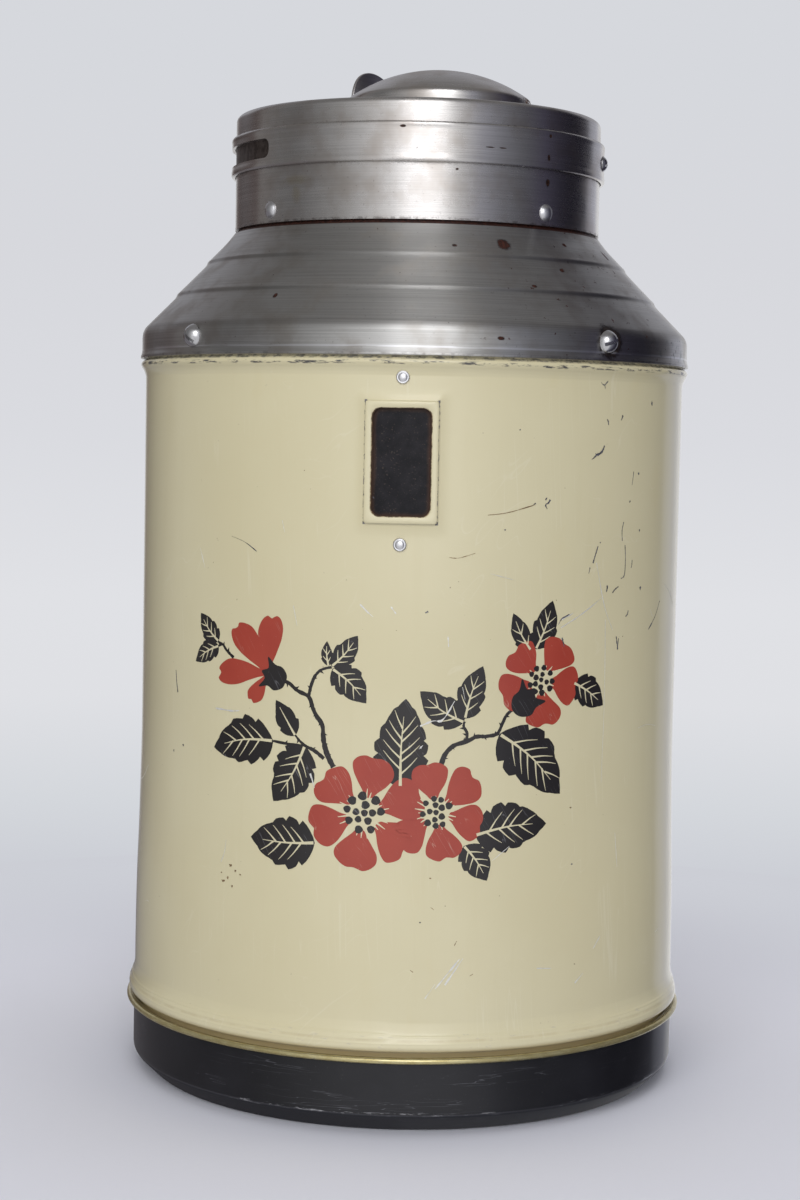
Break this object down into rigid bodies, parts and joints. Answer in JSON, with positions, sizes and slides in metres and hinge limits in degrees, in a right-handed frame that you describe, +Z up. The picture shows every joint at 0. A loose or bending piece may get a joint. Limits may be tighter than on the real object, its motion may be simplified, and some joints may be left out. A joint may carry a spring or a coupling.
{
  "type": "measuring canister dispenser",
  "caption": "Sheet-metal countertop canister that measures out a dry drink such as ground coffee or tea: turning ring on the neck, domed outlet flap, sight window and pull-off base lid.",
  "frame": {"origin": "centre of the foot ring, on the surface that the canister stands on", "axes": "+Z up along the canister's axis, -Y towards the front with the window, +X to the right seen from the front"},
  "size_m": [0.1528, 0.1528, 0.2742],
  "materials": {
    "cream_paint": "gloss cream enamel with a floral spray, scuffed",
    "dark_pane": "smoked clear sheet, glossy",
    "inner_steel": "dull steel",
    "bright_aluminium": "bright satin",
    "shoulder_steel": "worn grey steel with rust spots",
    "neck_steel": "satin steel, brushed round",
    "flap_steel": "satin steel with small rust marks",
    "screw_steel": "bright, slightly worn",
    "fibre": "matt fibre",
    "drum_plastic": "dark brown moulded plastic",
    "black_enamel": "semi-gloss black with a gold lacquered curl"
  },
  "bodies": {
    "canister": {"body_shell": "cream_paint", "window_pane": "dark_pane", "window_retainer": "inner_steel", "window_rivets": "bright_aluminium", "shoulder_cone": "shoulder_steel", "shoulder_screws": "screw_steel", "shoulder_nuts": "inner_steel", "neck_cup": "neck_steel", "neck_rivets": "bright_aluminium", "inlet_plate": "inner_steel", "spindle_bolt": "screw_steel", "spindle_washer": "screw_steel", "spindle_nut": "screw_steel", "drum_washer": "fibre", "stop_pin": "screw_steel", "pour_rim": "inner_steel", "hinge_bracket": "neck_steel", "bracket_rivets": "bright_aluminium", "hinge_pin": "screw_steel"},
    "meter": {"turning_ring": "neck_steel", "drive_screw": "screw_steel", "metering_drum": "drum_plastic"},
    "spout_flap": {"flap_dome": "flap_steel", "thumb_tab": "flap_steel", "tab_rivets": "bright_aluminium"},
    "lid": {"base_lid": "black_enamel"}
  },
  "joints": [
    {"name": "ring_turn", "type": "hinge", "parent": "canister", "child": "meter", "pos_m": [0, 0, 0.2472], "axis": [0, 0, 1], "range_deg": [-85, 0]},
    {"name": "flap_hinge", "type": "hinge", "parent": "canister", "child": "spout_flap", "pos_m": [0.02588, -0.01771, 0.2602], "axis": [0.6561, 0.7547, 0], "range_deg": [0, 105]},
    {"name": "lid_pull", "type": "slide", "parent": "canister", "child": "lid", "axis": [0, 0, -1], "range_m": [0, 0.08]}
  ]
}
